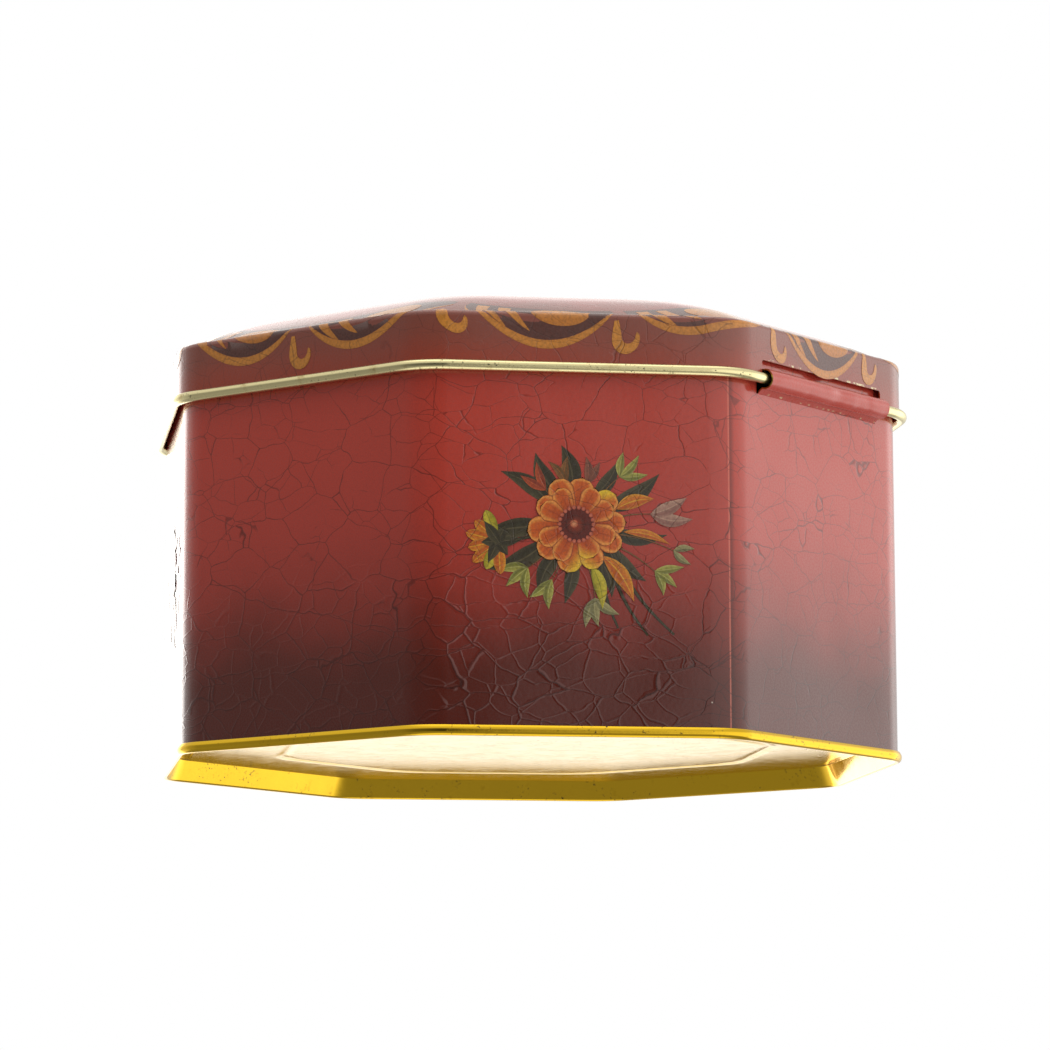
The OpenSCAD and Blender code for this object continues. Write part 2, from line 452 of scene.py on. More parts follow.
RED = srgb(0.75, 0.27, 0.215)
RED_DEEP = srgb(0.70, 0.25, 0.205)
MAROON = srgb(0.355, 0.135, 0.095)
LID_BROWN = srgb(0.54, 0.30, 0.25)
LID_RED = srgb(0.64, 0.28, 0.21)
SWAG_GROUND = srgb(0.38, 0.23, 0.20)
SCROLL_GOLD = srgb(0.88, 0.60, 0.26)
SCROLL_DARK = srgb(0.74, 0.45, 0.19)
GOLD = srgb(0.86, 0.70, 0.17)
GOLD_DARK = srgb(0.55, 0.40, 0.07)
CHIPPED = srgb(0.90, 0.84, 0.66)
SPECK = srgb(0.16, 0.13, 0.05)
# painted shade and painted highlight of the side seam's lap
LAP_PAINTED_SHADE = srgb(0.20, 0.08, 0.07)
LAP_PAINTED_HIGHLIGHT = srgb(0.88, 0.50, 0.42)


def body_print():
    """Red that turns maroon towards the base, with a painted shade and a painted highlight along the side
    seam's lap.
    """
    made, n, shader = material("body_print")
    place = object_place(n)
    height = split_xyz(n, place)[2]
    cloud = n.noise(place, 0.05, 3, 0.55)
    level = n.math("ADD", height, n.math("MULTIPLY", n.math("SUBTRACT", cloud, 0.5), 15.0))
    colour = n.mix(n.ramp(level, 34.0, 70.0), RED_DEEP, RED)
    colour = n.mix(n.ramp(level, 10.0, 45.0), MAROON, colour)
    # edge of the sheet lapped over in the corner beside the hinge, in metres along the print; the lap is
    # drawn only as a painted shade beside its edge and a painted highlight on it
    length = split_xyz(n, n.new("ShaderNodeUVMap", uv_map="print").outputs[0])[0]
    past = n.math("SUBTRACT", length, SEAM_LENGTH * MM)
    # painted shade: a dark band just past the lap's edge
    shade = n.math("MULTIPLY", n.ramp(past, 0.0, 0.0001), n.ramp(past, 0.0002, 0.0014, 0.5, 0))
    colour = n.mix(shade, colour, LAP_PAINTED_SHADE)
    # painted highlight: a light line just before the lap's edge
    from_lap_highlight = n.math("ABSOLUTE", n.math("ADD", past, 0.0002))
    colour = n.mix(n.ramp(from_lap_highlight, 0.00008, 0.00022, 0.6, 0), colour, LAP_PAINTED_HIGHLIGHT)
    colour = n.mix(worn_edge(n, place, TONGUE_ROOT_Z - 0.1, 0.55), colour, CHIPPED)
    finish_print(n, shader, colour, place, 0.62)
    return made


def lid_print():
    """Brown-red that turns redder towards the rolled edge and on the dome."""
    made, n, shader = material("lid_print")
    place = object_place(n)
    height = split_xyz(n, place)[2]
    cloud = n.noise(place, 0.06, 3, 0.55)
    level = n.math("ADD", height, n.math("MULTIPLY", n.math("SUBTRACT", cloud, 0.5), 8.0))
    colour = n.mix(n.ramp(level, 73.0, 83.0), LID_RED, LID_BROWN)
    colour = n.mix(n.ramp(level, 85.0, 90.0), colour, RED_DEEP)
    colour = n.mix(worn_edge(n, place, WINDOW_TOP, 0.5), colour, CHIPPED)
    finish_print(n, shader, colour, place, 0.34)
    return made


def painted_print():
    """The print of scrolls, flowers and leaves, whose colours are painted on the vertices."""
    made, n, shader = material("painted_print")
    place = object_place(n)
    paint = n.new("ShaderNodeAttribute", attribute_name="paint").outputs["Color"]
    brush = n.noise(place, 1.7, 3, 0.6)
    colour = n.mix(n.ramp(brush, 0.35, 0.75, 0.0, 0.35), paint, (0.03, 0.012, 0.006))
    finish_print(n, shader, colour, place, 0.42)
    return made


def gold_lacquer(name, tarnish_from, tarnish_to, base=GOLD, gloss=0.08):
    """Gold lacquer over tinplate, with brown tarnish and dark specks."""
    made, n, shader = material(name)
    place = object_place(n)
    cloud = n.noise(place, 0.22, 4, 0.62)
    colour = n.mix(n.ramp(cloud, tarnish_from, tarnish_to), base, GOLD_DARK)
    specks = n.noise(place, 1.5, 3, 0.7)
    group = n.noise(n.vector("ADD", place, (40.0, 0.0, 0.0)), 0.16, 2, 0.5)
    dark = n.math("MULTIPLY", n.ramp(specks, 0.60, 0.68), n.ramp(group, 0.48, 0.6))
    colour = n.mix(dark, colour, SPECK)
    n.put(shader.inputs["Base Color"], colour)
    n.put(shader.inputs["Metallic"], n.ramp(dark, 0, 1, 1.0, 0.3))
    n.put(shader.inputs["Roughness"], n.ramp(cloud, 0.3, 0.7, gloss, gloss + 0.06))
    scratches = n.noise(place, 0.9, 3, 0.6)
    n.put(shader.inputs["Normal"], relief(n, [(scratches, 0.006), (dark, 0.05)], 0.001))
    return made


def steel():
    """Drawn steel wire."""
    made, n, shader = material("drawn_steel")
    place = object_place(n)
    colour = n.mix(n.noise(place, 1.2, 3), srgb(0.50, 0.50, 0.48), srgb(0.66, 0.66, 0.64))
    n.put(shader.inputs["Base Color"], colour)
    shader.inputs["Metallic"].default_value = 1.0
    n.put(shader.inputs["Roughness"], n.ramp(n.noise(place, 3.0, 3), 0.3, 0.7, 0.28, 0.42))
    return made


# The side seam's lap shows outside, a little way into the bend between the 45 degree face and the hinge face,
# where the body print paints shade and a highlight for it.
SEAM_LENGTH = FACE_PITCH + SIDE + 4.5

body_mat = body_print()
lid_mat = lid_print()
paint_mat = painted_print()
base_mat = gold_lacquer("base_lacquer", 0.60, 0.95, gloss=0.11)
bead_mat = gold_lacquer("edge_lacquer", 0.55, 0.85, srgb(0.88, 0.84, 0.64), 0.2)
inside_mat = gold_lacquer("inside_lacquer", 0.55, 0.90, srgb(0.82, 0.72, 0.42), 0.22)
steel_mat = steel()


def dress(obj, *materials):
    """Gives a piece its materials, the outside's first."""
    obj.data.materials.clear()
    for item in materials:
        obj.data.materials.append(item)


# ---- body wall ------------------------------------------------------------------------------

WALL_A = BODY_A - HALF_SHEET
HEM_A = WALL_A - SHEET - 0.02


def wall_rings():
    turn = (WALL_A - HEM_A) / 2
    top = BODY_H - HALF_SHEET - turn
    heights = (SHEET + 0.05, SEAM_H, 14, 28, 42, 56, TONGUE_ROOT_Z, 76.7, BODY_H - HEM_H, top)
    up = [(WALL_A, z) for z in heights]
    fold = arc(WALL_A - turn, top, turn, 0, math.pi, 6)[1:]
    return as_rings(up + fold + [(HEM_A, BODY_H - HEM_H)])


def in_notch(one, other, low, high):
    """The wall is cut away above the tongue's root."""
    if one.face != HINGE_FACE or one.offset is None or other.offset is None:
        return False
    inside = abs((one.offset + other.offset) / 2) < NOTCH_HALF
    return inside and min(low[2], high[2]) > TONGUE_ROOT_Z - 0.01


def tongue_points():
    wrap_r = TONGUE_R - HALF_SHEET
    wrap = arc(BEAD_A, BEAD_Z, wrap_r, WRAP_FROM, WRAP_TO, 22)
    lower = rounded([(WALL_A, TONGUE_ROOT_Z), (WALL_A + 0.02, TONGUE_ROOT_Z + 0.06), wrap[0]], 0.2, 3)
    upper = rounded([wrap[-1], (WALL_A, TONGUE_CREASE_Z), (WALL_A, TONGUE_END_Z)], 0.35, 5)
    return lower[:-1] + wrap[:-1] + upper


def tongue_dents(station, ring):
    """The tongue's roll is pressed in a little here and there, but its root and its end aren't."""
    if not 4 < ring < 26:
        return Vector((0, 0, 0))
    along = station.offset
    depth = max(0.0, noise.noise(Vector((along * 0.16, ring * 0.05, 3.7)))) * 0.34
    depth += max(0.0, noise.noise(Vector((along * 0.55, ring * 0.1, 9.1)))) * 0.10
    return Vector((0, -depth, 0))


def make_wall():
    tongue_columns = spread(-TONGUE_HALF, TONGUE_HALF, 44)
    columns = [-NOTCH_HALF, *tongue_columns, NOTCH_HALF]
    bm = bmesh.new()
    sweep(bm, all_round([-13, 0, 13], columns), wall_rings(), skip=in_notch)
    tongue = [Station(HINGE_FACE, offset) for offset in tongue_columns]
    sweep(bm, tongue, as_rings(tongue_points()), closed=False, shift=tongue_dents)
    wall = solid_sheet("body_wall_sheet", bm, body_mat, inside_mat)
    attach(wall, "tin")
    return wall


def make_side_seam():
    """The folded side seam on the inside of the corner beside the hinge."""
    start, span = math.radians(4), math.radians(22)
    stations = [Station(1, turn=start + span * i / 8) for i in range(9)]
    seam_in, seam_out = WALL_A - HALF_SHEET - 0.6, WALL_A
    low, high = PANEL_Z + 0.6, BODY_H - HEM_H / 2
    bevel = 0.15
    outline = [
        (seam_out, low), (seam_in + bevel, low), (seam_in, low + bevel),
        (seam_in, high - bevel), (seam_in + bevel, high), (seam_out, high), (seam_out, low),
    ]
    bm = bmesh.new()
    grid = sweep(bm, stations, as_rings(outline), closed=False)
    for column in (grid[0], grid[-1]):
        bm.faces.new(column[:-1])
    bmesh.ops.remove_doubles(bm, verts=bm.verts, dist=WELD)
    bmesh.ops.recalc_face_normals(bm, faces=bm.faces)
    seam = link("side_seam_fold", mesh_from(bm, "side_seam_fold"))
    seam.data.set_sharp_from_angle(angle=math.radians(35))
    dress(seam, inside_mat)
    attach(seam, "tin")


wall = make_wall()
make_side_seam()
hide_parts("body_wall")

# ---- base -----------------------------------------------------------------------------------


def base_profile():
    """From the seam's turned-in lip, down round its foot, up the leaning wall and onto the panel."""
    outer = SEAM_A - HALF_SHEET
    foot_in = BODY_A - SHEET - 0.05 - HALF_SHEET
    rim_a, rim_z = PANEL_A - HALF_SHEET, PANEL_Z - HALF_SHEET
    step_a, floor_z = PANEL_A - STEP_W - HALF_SHEET, PANEL_Z - STEP_H - HALF_SHEET
    top, foot = SEAM_H - HALF_SHEET, HALF_SHEET
    shy, short = 0.36, 0.65
    corners = [
        (BODY_A + HALF_SHEET / 2, top), (outer - shy, top), (outer, top - short), (outer, foot + short),
        (outer - shy, foot), (foot_in, foot), (rim_a, rim_z), (step_a, rim_z), (step_a - 0.2, floor_z),
        (step_a - 2, floor_z),
    ]
    return rounded(corners, 0.32, 5), step_a - 2, floor_z


RING_AT = 0.74
RING_WIDTH = 0.022
RING_DEPTH = 0.28


def floor_rings(edge_a, floor_z):
    """The panel's floor, with one plain pressed ring."""
    rings = []
    shares = spread(1, RING_AT + 2 * RING_WIDTH, 5)
    shares += spread(RING_AT + 1.6 * RING_WIDTH, RING_AT - 1.6 * RING_WIDTH, 14)
    shares += spread(RING_AT - 2 * RING_WIDTH, 0, 12)
    for share in shares:
        rise = RING_DEPTH * math.exp(-(((share - RING_AT) / RING_WIDTH) ** 2) * 2)
        rings.append(shrinking_ring(edge_a, share, floor_z + rise))
    return rings[1:]


def make_base():
    profile, edge_a, floor_z = base_profile()
    bm = bmesh.new()
    sweep(bm, all_round([-13, 0, 13]), as_rings(profile) + floor_rings(edge_a, floor_z))
    base = solid_sheet("base_pressing", bm, base_mat, base_mat, sharp_degrees=60)
    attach(base, "tin")
    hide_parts("base_panel")


make_base()

# ---- lid ------------------------------------------------------------------------------------

LID_A = SKIRT_A - HALF_SHEET
LID_TOP = SHOULDER_Z - HALF_SHEET
SHOULDER_A = SKIRT_A - SHOULDER_R
SHOULDER_MID = SHOULDER_Z - SHOULDER_R
DOME_A = SHOULDER_A - LEDGE_W + SHEET


def dome_height(share):
    return DOME_H * (1 - share**4)


def dome_shares():
    """Sizes of the dome's rings, as shares of its foot: close together at the foot, then wider apart."""
    near = [1 - i * 0.9 / DOME_A for i in range(1, 14)]
    return near + [near[-1] * (1 - i / 14) for i in range(1, 15)]


def lid_rings():
    low = [(LID_A, z) for z in (BEAD_Z + 0.7, 75, WINDOW_TOP - WINDOW_CORNER, WINDOW_TOP, 80, SHOULDER_MID)]
    shoulder = arc(SHOULDER_A, SHOULDER_MID, SHOULDER_R - HALF_SHEET, 0, math.pi / 2, 8)[1:]
    ledge = [(SHOULDER_A - LEDGE_W / 2, LID_TOP), (DOME_A + 0.15, LID_TOP), (DOME_A, LID_TOP + 0.02)]
    return as_rings(low + shoulder + ledge) + [
        shrinking_ring(DOME_A, share, LID_TOP + dome_height(share)) for share in dome_shares()
    ]


def in_window(one, other, low, high):
    """The skirt is cut out round the tongue."""
    if one.face != HINGE_FACE or one.offset is None or other.offset is None:
        return False
    return abs((one.offset + other.offset) / 2) < NOTCH_HALF and max(low[2], high[2]) < WINDOW_TOP + 0.01


def round_window(station, ring):
    """Pulls the window's corner point in, which rounds the corner."""
    at_corner = station.face == HINGE_FACE and station.offset is not None
    if not at_corner or abs(abs(station.offset) - NOTCH_HALF) > 0.01 or ring != 3:
        return Vector((0, 0, 0))
    pull = WINDOW_CORNER * (1 - math.sqrt(0.5))
    return Vector((math.copysign(pull, station.offset), 0, -pull))


def make_lid():
    edge = NOTCH_HALF - WINDOW_CORNER
    columns = [-NOTCH_HALF, -edge, -11, 0, 11, edge, NOTCH_HALF]
    bm = bmesh.new()
    sweep(bm, all_round([-18, -9, 0, 9, 18], columns), lid_rings(), skip=in_window, shift=round_window)
    lid = solid_sheet("lid_sheet", bm, lid_mat, inside_mat)
    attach(lid, "lid")
    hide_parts("lid_shell")
    bead = closed_tube("lid_rolled_edge", BEAD_A, BEAD_Z, BEAD_R, 20)
    dress(bead, bead_mat)
    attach(bead, "lid")


make_lid()

dress(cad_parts["lid_edge_wire"], steel_mat)

# ---- print on the sheets: closed thin patches with painted vertices --------------------------


class Patches:
    """Collects thin patches of print, which a map carries from the drawing onto the tin."""

    def __init__(self, to_tin, gap):
        self.bm = bmesh.new()
        self.paint = self.bm.verts.layers.float_color.new("paint")
        self.to_tin = to_tin
        self.layer = 0
        self.gap = gap

    def grid(self, rows, colours, lift, ring=False):
        """A closed patch from rows of drawing points. In a ring, each row ends where it starts."""
        thickness = 0.02
        sides = []
        for below in (0.0, thickness):
            side = []
            for row, shades in zip(rows, colours):
                line = []
                for (x, y), shade in zip(row, shades):
                    vert = self.bm.verts.new(Vector(self.to_tin(x, y, lift - below)) * MM)
                    vert[self.paint] = (*shade, 1)
                    line.append(vert)
                side.append(line)
            sides.append(side)
        top, under = sides
        last_row, last_column = len(rows) - 1, len(rows[0]) - 1
        for i in range(last_row):
            for j in range(last_column):
                self.face(top[i][j], top[i + 1][j], top[i + 1][j + 1], top[i][j + 1])
                self.face(under[i][j + 1], under[i + 1][j + 1], under[i + 1][j], under[i][j])
            for j in () if ring else (0, last_column):
                self.face(top[i][j], under[i][j], under[i + 1][j], top[i + 1][j])
        for j in range(last_column):
            for i in (0, last_row):
                self.face(top[i][j], top[i][j + 1], under[i][j + 1], under[i][j])

    def face(self, *verts):
        self.bm.faces.new(verts).smooth = True

    def next_lift(self):
        self.layer += 1
        return 0.018 + self.gap * self.layer

    def finish(self, name, body):
        bmesh.ops.remove_doubles(self.bm, verts=self.bm.verts, dist=2e-7)
        bmesh.ops.recalc_face_normals(self.bm, faces=self.bm.faces)
        mesh = bpy.data.meshes.new(name)
        self.bm.to_mesh(mesh)
        self.bm.free()
        mesh.set_sharp_from_angle(angle=math.radians(50))
        obj = link(name, mesh)
        dress(obj, paint_mat)
        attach(obj, body)


def blend_colour(a, b, share):
    share = min(1.0, max(0.0, share))
    return tuple(u + (v - u) * share for u, v in zip(a, b))


# scrolls round the lid, drawn as (polar angle round the tin, distance out on the flat blank)


def station_at(angle):
    """The station in a polar direction, and how far out the shoulder's edge is there."""
    face = round(angle / STEP)
    within = angle - face * STEP
    offset = SHOULDER_A * math.tan(within)
    if abs(offset) <= SIDE / 2:
        return Station(face, offset), SHOULDER_A / math.cos(within)
    # the direction meets the bend: find the turn by bisection
    sign = 1 if within > 0 else -1
    start_face = face if sign > 0 else face - 1
    low, high = 0.0, STEP
    for _ in range(30):
        turn = (low + high) / 2
        station = Station(start_face, turn=turn)
        x, y, _ = station.at(CENTRE_A, SHOULDER_A - CENTRE_A, 0)
        ahead = (math.atan2(y, x) - angle + math.pi) % math.tau - math.pi
        if ahead < 0:
            low = turn
        else:
            high = turn
    return station, math.hypot(x, y)


def lid_point(angle, out, lift):
    """A point on the lid's outside from a drawing point on the flat blank."""
    station, edge = station_at(angle)
    beyond = out - edge
    bend_r = SHOULDER_R + lift
    bend_span = SHOULDER_R * math.pi / 2
    if beyond > bend_span:
        return station.at(CENTRE_A, SKIRT_A + lift - CENTRE_A, SHOULDER_MID - (beyond - bend_span))
    if beyond > 0:
        turn = math.pi / 2 - beyond / SHOULDER_R
        a = SHOULDER_A + bend_r * math.cos(turn)
        return station.at(CENTRE_A, a - CENTRE_A, SHOULDER_MID + bend_r * math.sin(turn))
    if -beyond < SHOULDER_A - DOME_A:
        return station.at(CENTRE_A, SHOULDER_A + beyond - CENTRE_A, SHOULDER_Z + lift)
    share = 1 - (-beyond - (SHOULDER_A - DOME_A)) / DOME_A
    z = SHOULDER_Z + lift * 1.3 + dome_height(share)
    return station.at(*shrinking_ring(DOME_A, share, z))


SCROLLS = 14
SCROLL_PITCH = math.tau / SCROLLS
SCROLL_R = SHOULDER_A + 7.9 + SHOULDER_R * (math.pi / 2 - 1)
SWAG_SHARE = 0.92
SWAG_RISE = 8.6
SWAG_THICK = 1.75
INNER_R = SHOULDER_A - 3.2
HOOK_R = 2.3


def scroll_colour(share):
    return blend_colour(SCROLL_GOLD, SCROLL_DARK, share)


def over_shoulder(start, end):
    """Distances out from start to end, closely spaced where the sheet bends over the shoulder.

    Where end comes before the bend does, the last distances are kept apart by a hundredth of a millimetre.
    """
    bend_end = SHOULDER_A + SHOULDER_R * math.pi / 2
    marks = spread(start, SHOULDER_A, 3) + spread(SHOULDER_A, bend_end, 8)[1:] + spread(bend_end, end, 3)[1:]
    left = len(marks) - 1
    return [min(out, end - 0.01 * (left - i)) for i, out in enumerate(marks)]


def band(patches, centre_line, half_width, steps, colour_at, across=4):
    """A band along a centre line drawn as (angle, distance out); widths are in millimetres."""
    rows, colours = [], []
    lines = [centre_line(t) for t in spread(0, 1, steps)]
    for i, (angle, out) in enumerate(lines):
        before, after = lines[max(i - 1, 0)], lines[min(i + 1, steps)]
        run, rise = (after[0] - before[0]) * SCROLL_R, after[1] - before[1]
        size = math.hypot(run, rise) or 1.0
        half = half_width(i / steps)
        row, shades = [], []
        for side in spread(-1, 1, across):
            row.append((angle - side * half * rise / size / SCROLL_R, out + side * half * run / size))
            shades.append(colour_at(i / steps, side))
        rows.append(row)
        colours.append(shades)
    patches.grid(rows, colours, patches.next_lift())


def draw_scroll(patches, start):
    """One repeat: a hanging swag with its darker ground, two combed strokes, a half oval and a hook."""
    width = SCROLL_PITCH * SWAG_SHARE

    def swag(t):
        return start + width * t, SCROLL_R - SWAG_THICK / 2 - SWAG_RISE * (1 - math.sin(math.pi * t) ** 0.72)

    ground_rows, ground_colours = [], []
    for t in spread(0, 1, 40):
        angle, out = swag(t)
        outs = over_shoulder(INNER_R, out)
        ground_rows.append([(angle, o) for o in outs])
        ground_colours.append([SWAG_GROUND] * len(outs))
    patches.layer = 0
    patches.grid(ground_rows, ground_colours, patches.next_lift())
    band(patches, swag, lambda t: SWAG_THICK / 2 * math.sin(math.pi * min(max(t, 0.004), 0.996)) ** 0.55,
         72, lambda t, side: scroll_colour(0.35 + 0.35 * side * side + 0.3 * abs(t - 0.5)), 8)
    def stroke_half_width(t):
        return 1.5 * (1 - t) ** 0.7 + 0.01

    for left in (0.11, 0.25):

        def stroke(t, left=left):
            return start + SCROLL_PITCH * (left + 0.15 * t**1.7), SHOULDER_A - 2.2 + 7.6 * t**0.85

        band(patches, stroke, stroke_half_width, 30, lambda t, side: scroll_colour(0.2 + 0.5 * t), 6)
    middle = start + SCROLL_PITCH * 0.58
    oval_rows, oval_colours = [], []
    for t in spread(-1, 1, 20):
        deep = math.sqrt(max(0.0, 1 - t * t))
        outs = over_shoulder(SHOULDER_A - 0.4 - 2.2 * deep, SHOULDER_A + 0.4 + 3.3 * deep)
        oval_rows.append([(middle + t * SCROLL_PITCH * 0.185, o) for o in outs])
        oval_colours.append([scroll_colour(share) for share in spread(0.1, 0.8, len(outs) - 1)])
    patches.grid(oval_rows, oval_colours, patches.next_lift())
    hook_at = start + width

    def hook(t):
        bend = math.pi * (1 + 1.12 * max(0.0, t - 0.35) / 0.65)
        drop = 3.6 * min(1.0, t / 0.35)
        centre = hook_at + 2.1 / SCROLL_R
        return centre + HOOK_R * math.cos(bend) / SCROLL_R, SCROLL_R - 6.0 + drop - HOOK_R * math.sin(bend)

    def hook_half_width(t):
        return 0.3 + 0.85 * math.sin(math.pi * min(1.0, t * 0.94 + 0.06)) if t < 0.98 else 0.02

    band(patches, hook, hook_half_width, 26, lambda t, side: scroll_colour(0.25 + 0.4 * abs(side) * t))


def make_scrolls():
    patches = Patches(lid_point, 0.008)
    for i in range(SCROLLS):
        draw_scroll(patches, SCROLL_START + i * SCROLL_PITCH)
    patches.finish("lid_scroll_print", "lid")


# the swag under the middle of the 45 degree face hangs a little to that face's left
SCROLL_START = STEP - SCROLL_PITCH * (SWAG_SHARE / 2) - 5.5 / SCROLL_R - math.radians(2.2)
make_scrolls()

# flower sprays on the four diagonal faces, drawn in millimetres from the main flower's middle

DARK_LEAF = (srgb(0.17, 0.16, 0.11), srgb(0.30, 0.28, 0.19), srgb(0.42, 0.38, 0.27))
LIGHT_LEAF = (srgb(0.36, 0.38, 0.15), srgb(0.70, 0.68, 0.32), srgb(0.84, 0.82, 0.50))
PALE_LEAF = (srgb(0.38, 0.38, 0.24), srgb(0.66, 0.62, 0.42), srgb(0.74, 0.70, 0.50))
RED_LEAF = (srgb(0.46, 0.18, 0.13), srgb(0.74, 0.32, 0.18), srgb(0.80, 0.42, 0.24))
DUSKY_LEAF = (srgb(0.42, 0.24, 0.19), srgb(0.58, 0.36, 0.28), srgb(0.66, 0.42, 0.32))
OLIVE_LEAF = (srgb(0.36, 0.27, 0.15), srgb(0.55, 0.38, 0.22), srgb(0.72, 0.42, 0.20))
FLAME_BUD = (srgb(0.72, 0.30, 0.12), srgb(0.86, 0.52, 0.16), srgb(0.93, 0.76, 0.22))
YELLOW_BUD = (srgb(0.62, 0.58, 0.12), srgb(0.86, 0.78, 0.26), srgb(0.36, 0.42, 0.12))
FEATHER = (srgb(0.52, 0.32, 0.29), srgb(0.74, 0.58, 0.50), srgb(0.80, 0.66, 0.56))

BACK_LEAVES = 12
# fans of small leaves: way out in degrees, distance and length in millimetres, leaves, paints
SPRIGS = [
    (48, 13.0, 6.0, 3, LIGHT_LEAF), (76, 8.5, 6.0, 2, DUSKY_LEAF), (104, 8.0, 6.0, 2, OLIVE_LEAF),
    (132, 9.0, 6.0, 2, RED_LEAF), (222, 13.0, 7.0, 3, LIGHT_LEAF), (246, 12.0, 7.0, 2, LIGHT_LEAF),
    (284, 15.0, 7.0, 3, PALE_LEAF), (330, 18.0, 6.0, 3, LIGHT_LEAF), (346, 20.0, 5.0, 2, PALE_LEAF),
    (9, 15.0, 9.5, 2, FEATHER),
]
# way out in degrees, distance, length, width, paints
BUDS = [
    (22, 10.5, 6.0, 2.8, FLAME_BUD), (352, 11.5, 7.5, 1.7, FLAME_BUD),
    (290, 10.5, 7.0, 2.6, YELLOW_BUD), (310, 10.0, 9.0, 3.2, FLAME_BUD),
]
# way out in degrees, distance
SIDE_FLOWER = (193, 16.0)
OUTER_PETALS = 10
INNER_PETALS = 8
DISC_BEADS = 22


def out_at(degrees, distance):
    angle = math.radians(degrees)
    return Vector((distance * math.cos(angle), distance * math.sin(angle)))


def leaf(patches, start, end, width, bend, paints, blunt=0.0):
    """A pointed leaf with one dark half, one light half and a vein. blunt makes it a rounded petal."""
    dark, light, vein = paints
    a, b = Vector(start), Vector(end)
    way = b - a
    left = Vector((-way.y, way.x))
    steps, rows, colours = 12, [], []
    for i in range(steps + 1):
        t = i / steps
        middle = a + way * t + left * bend * math.sin(math.pi * t)
        slope = way + left * bend * math.pi * math.cos(math.pi * t)
        across = Vector((-slope.y, slope.x)).normalized()
        pointed = math.sin(math.pi * t**0.85) ** 1.1
        if t > 0.6:
            full = math.sqrt(max(0.0, 1 - ((t - 0.6) / 0.4) ** 2))
        else:
            full = 0.35 + 0.65 * math.sin(math.pi * t / 1.2)
        half = width / 2 * (pointed * (1 - blunt) + full * blunt) + 0.012
        row, shades = [], []
        for side in (-1.0, -0.55, -0.12, 0.0, 0.12, 0.55, 1.0):
            row.append(tuple(middle + across * half * side))
            shade = blend_colour(dark, light, 0.5 + 0.6 * side * (1 - 0.3 * t))
            if side == 0.0:
                shade = blend_colour(shade, vein, 0.75)
            if abs(side) == 1.0:
                shade = blend_colour(shade, vein, 0.35)
            shades.append(shade)
        rows.append(row)
        colours.append(shades)
    patches.grid(rows, colours, patches.next_lift())


def stem(patches, start, end, width, bend, paints):
    a, b = Vector(start), Vector(end)
    way = b - a
    left = Vector((-way.y, way.x))
    rows, colours = [], []
    for t in spread(0, 1, 12):
        middle = a + way * t + left * bend * math.sin(math.pi * t)
        across = left.normalized() * (width / 2) * (1 - 0.55 * t)
        rows.append([tuple(middle - across), tuple(middle), tuple(middle + across)])
        colours.append([paints[0], paints[1], paints[0]])
    patches.grid(rows, colours, patches.next_lift())


PETAL_GAP = srgb(0.34, 0.11, 0.05)
PETAL_RED = srgb(0.66, 0.24, 0.10)
PETAL_ORANGE = srgb(0.86, 0.42, 0.16)
PETAL_RIM = srgb(0.96, 0.66, 0.32)
PETAL_YELLOW = srgb(0.95, 0.80, 0.20)


def petal(patches, angle, reach, width, bright):
    """A rounded petal from the disc outwards: darker fold in the middle, light rim."""
    way = Vector((math.cos(angle), math.sin(angle)))
    across = Vector((-way.y, way.x))
    start, steps = 2.6, 14
    rows, colours = [], []
    for i in range(steps + 1):
        t = i / steps
        out = start + (reach - start) * t
        round_end = math.sqrt(max(0.0, 1 - ((t - 0.62) / 0.38) ** 2)) if t > 0.62 else 1.0
        half = width / 2 * round_end * (0.42 + 0.58 * min(1.0, t / 0.62) ** 0.8) + 0.012
        row, shades = [], []
        for side in (-1.0, -0.91, -0.82, -0.5, -0.1, 0.0, 0.1, 0.5, 0.82, 0.91, 1.0):
            curl = 0.25 * (1 - side * side) * t * t
            point = way * (out + curl) + across * half * side
            row.append(tuple(point))
            shade = blend_colour(PETAL_RED, PETAL_ORANGE, 0.25 + 0.9 * t - 0.25 * (1 - abs(side)))
            rim = max(1 - abs(abs(side) - 0.82) / 0.16, 1 - abs(t - 0.93) / 0.07, 0.0)
            shade = blend_colour(shade, PETAL_RIM, rim * 0.85 * min(1.0, t * 1.5))
            if abs(side) < 0.05:
                shade = blend_colour(shade, PETAL_RED, 0.75 * (1 - 0.6 * t))
            if bright:
                shade = blend_colour(shade, PETAL_YELLOW, min(0.95, max(0.0, side * bright + t * 1.3 - 0.75)))
            if abs(side) == 1.0 or i == steps:
                shade = PETAL_GAP
            shades.append(shade)
        rows.append(row)
        colours.append(shades)
    patches.grid(rows, colours, patches.next_lift())


def dot(patches, x, y, radius, inner, outer):
    rows, colours = [], []
    for ring in (0.02, 0.55, 1.0):
        turns = spread(0, math.tau, 16)
        rows.append([(x + radius * ring * math.cos(t), y + radius * ring * math.sin(t)) for t in turns])
        colours.append([blend_colour(inner, outer, ring)] * len(turns))
    patches.grid(rows, colours, patches.next_lift(), ring=True)


def draw_side_flower(patches):
    """A smaller flower seen from the side, turned away from the main one, on a star of sepals."""
    way = SIDE_FLOWER[0]
    heart = out_at(*SIDE_FLOWER)
    stem(patches, out_at(way, 3.0), heart, 0.8, 0.04, DARK_LEAF)
    for i in range(7):
        degrees = way + 27 * (i - 3)
        paints = YELLOW_BUD if i in (0, 5) else FLAME_BUD
        tip = heart + out_at(degrees, 6.6 - 0.5 * (i % 2))
        leaf(patches, heart + out_at(degrees, 1.0), tip, 2.5, 0.0, paints, 0.7)
    for i in range(6):
        degrees = way - 8 + 60 * i
        tip = heart + out_at(degrees, 3.4 + 1.4 * (i % 2))
        leaf(patches, heart - out_at(degrees, 1.0), tip, 2.3, 0.0, DARK_LEAF)


